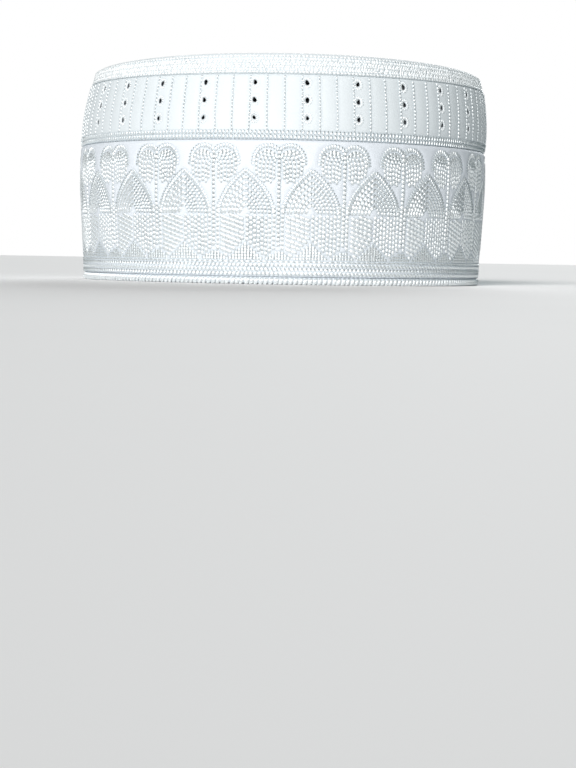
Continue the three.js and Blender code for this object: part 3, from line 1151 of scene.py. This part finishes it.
CAMERA_DISTANCE = 0.95
CAMERA_HEIGHT = 0.012
FOCAL_PIXELS = 2113
FRAME_WIDTH, FRAME_HEIGHT = 576, 768
CAP_CENTRE_COLUMN = 279
HORIZON_ROW = 255
ROLL = math.radians(1.0)
SUN_SPREAD = math.radians(28)
KEY_LIGHT = ((0.27, 0.85, -0.46), 3.7, (1, 0.95, 0.935))
BACK_LIGHT = ((-0.18, -0.93, -0.32), 1.5, (0.96, 0.99, 1))
AMBIENT = 0.11
AMBIENT_COLOUR = (0.66, 0.95, 1, 1)
FLOOR_HALF = 4
FLOOR_TONES = ((0.86, 0.86, 0.86), (0.89, 0.885, 0.885))
FLOOR_ROUGHNESS = 0.9


def camera():
    """The camera at the photograph's side angle and tilt, just above the floor."""
    data = bpy.data.cameras.new("camera")
    data.sensor_fit = "HORIZONTAL"
    data.sensor_width = 36
    data.lens = FOCAL_PIXELS * data.sensor_width / FRAME_WIDTH
    data.clip_start = 0.01
    made = bpy.data.objects.new("camera", data)
    bpy.context.scene.collection.objects.link(made)
    pitch = math.atan((FRAME_HEIGHT / 2 - HORIZON_ROW) / FOCAL_PIXELS)
    yaw = math.atan((CAP_CENTRE_COLUMN - FRAME_WIDTH / 2) / FOCAL_PIXELS)
    made.matrix_world = (Matrix.Translation((0, -CAMERA_DISTANCE, CAMERA_HEIGHT))
                         @ Matrix.Rotation(yaw, 4, "Z")
                         @ Matrix.Rotation(math.pi / 2 - pitch, 4, "X")
                         @ Matrix.Rotation(ROLL, 4, "Z"))
    bpy.context.scene.camera = made


def soft_sun(name, towards, strength, colour):
    """A distant, very broad light that falls along a direction."""
    data = bpy.data.lights.new(name, "SUN")
    data.energy = strength
    data.angle = SUN_SPREAD
    data.color = colour
    made = bpy.data.objects.new(name, data)
    bpy.context.scene.collection.objects.link(made)
    made.matrix_world = Vector(towards).to_track_quat("-Z", "Y").to_matrix().to_4x4()


def floor():
    """A plain pale floor."""
    bm = bmesh.new()
    bmesh.ops.create_grid(bm, x_segments=8, y_segments=8, size=FLOOR_HALF)
    mesh = bpy.data.meshes.new("floor")
    bm.to_mesh(mesh)
    bm.free()
    material, tree, surface = shader("pale_floor")
    place = node(tree, "ShaderNodeTexCoord").outputs["Object"]
    cloud = node(tree, "ShaderNodeTexNoise", {"Vector": place, "Scale": 6, "Detail": 2})
    tree.links.new(blended(tree, cloud.outputs[0], *FLOOR_TONES), surface.inputs["Base Color"])
    surface.inputs["Roughness"].default_value = FLOOR_ROUGHNESS
    mesh.materials.append(material)
    made = bpy.data.objects.new("floor", mesh)
    bpy.context.scene.collection.objects.link(made)


def studio():
    """White to look at, and a weaker pale light on the cap."""
    world = bpy.data.worlds.new("studio")
    world.use_nodes = True
    tree = world.node_tree
    tree.nodes.clear()
    seen = node(tree, "ShaderNodeBackground", {"Color": (1, 1, 1, 1), "Strength": 1.0})
    lit = node(tree, "ShaderNodeBackground", {"Color": AMBIENT_COLOUR, "Strength": AMBIENT})
    ray = node(tree, "ShaderNodeLightPath").outputs["Is Camera Ray"]
    mixed = node(tree, "ShaderNodeMixShader", {0: ray, 1: lit.outputs[0], 2: seen.outputs[0]})
    node(tree, "ShaderNodeOutputWorld", {"Surface": mixed.outputs[0]})
    bpy.context.scene.world = world
    bpy.context.scene.view_settings.view_transform = "Standard"


camera()
studio()
floor()
soft_sun("key", *KEY_LIGHT)
soft_sun("back", *BACK_LIGHT)

SATIN_WEAVE = satin_weave_group()
TONE_DRIFT = tone_drift_group()
SATIN = satin_material("band_satin", light=(0.75, 0.805, 0.86), shade=(0.69, 0.755, 0.81),
                       roughness=0.5, threads=2600, depth=0.00005)
UPPER_SATIN = satin_material("upper_satin", light=(0.715, 0.78, 0.805), shade=(0.67, 0.735, 0.765),
                             roughness=0.6, threads=2600, depth=0.00005)
CROWN_SATIN = satin_material("crown_cloth", light=(0.89, 0.935, 0.95), shade=(0.82, 0.875, 0.895),
                             roughness=0.65, threads=2200, depth=0.00006)
# The last colour of each thread is the shade painted at its stitch ends
THREAD = thread_material("silk_thread", THREAD_LIGHT, THREAD_SHADE, end_shade=(0.26, 0.33, 0.37), gloss=0.68)
MATTE_THREAD = thread_material("matte_thread", THREAD_LIGHT, THREAD_SHADE, end_shade=(0.74, 0.79, 0.82),
                               gloss=0.15)

GRAIN = grain()
canopies = repeated(canopy_rows())
stems = repeated(stem_rows())
arches = repeated(arch_rows())
leaves = repeated([*leaf_rows(), *ground_rows()])
borders = border_rows()
panels = panel_rows()
rings = eyelet_rings()
seam = seam_rows()
edge = edge_rows()
crown_rings = crown_rows()

# Each cloth is laid round its stitches, with how strongly shade is painted on it beside them
figures = [(table, 1.0) for table in (canopies, stems, arches, leaves)]
lower_band([*figures, *((table, 0.6) for table in borders)])
upper_band([(panels, 0.5), (rings, 0.25), *((table, 1.3) for table in seam)])
crown_edge([(table, 0.6) for table in edge])
crown([(table, 0.6) for table in crown_rings])
rim_roll()
rim_whipping()
sewn("palm_canopies", lower_surface, [canopies], THREAD)
sewn("palm_stems", lower_surface, [stems], THREAD)
sewn("pointed_arches", lower_surface, [arches], THREAD)
sewn("hanging_leaves", lower_surface, [leaves], THREAD)
sewn("border_rows", lower_surface, borders, THREAD)
sewn("panel_rows", upper_surface, [panels], THREAD)
sewn("eyelet_rings", upper_surface, [rings], MATTE_THREAD)
sewn("seam_row", upper_surface, seam, THREAD)
sewn("crown_edge_rows", edge_surface, edge, MATTE_THREAD)
sewn("crown_rows", crown_surface, crown_rings, THREAD)
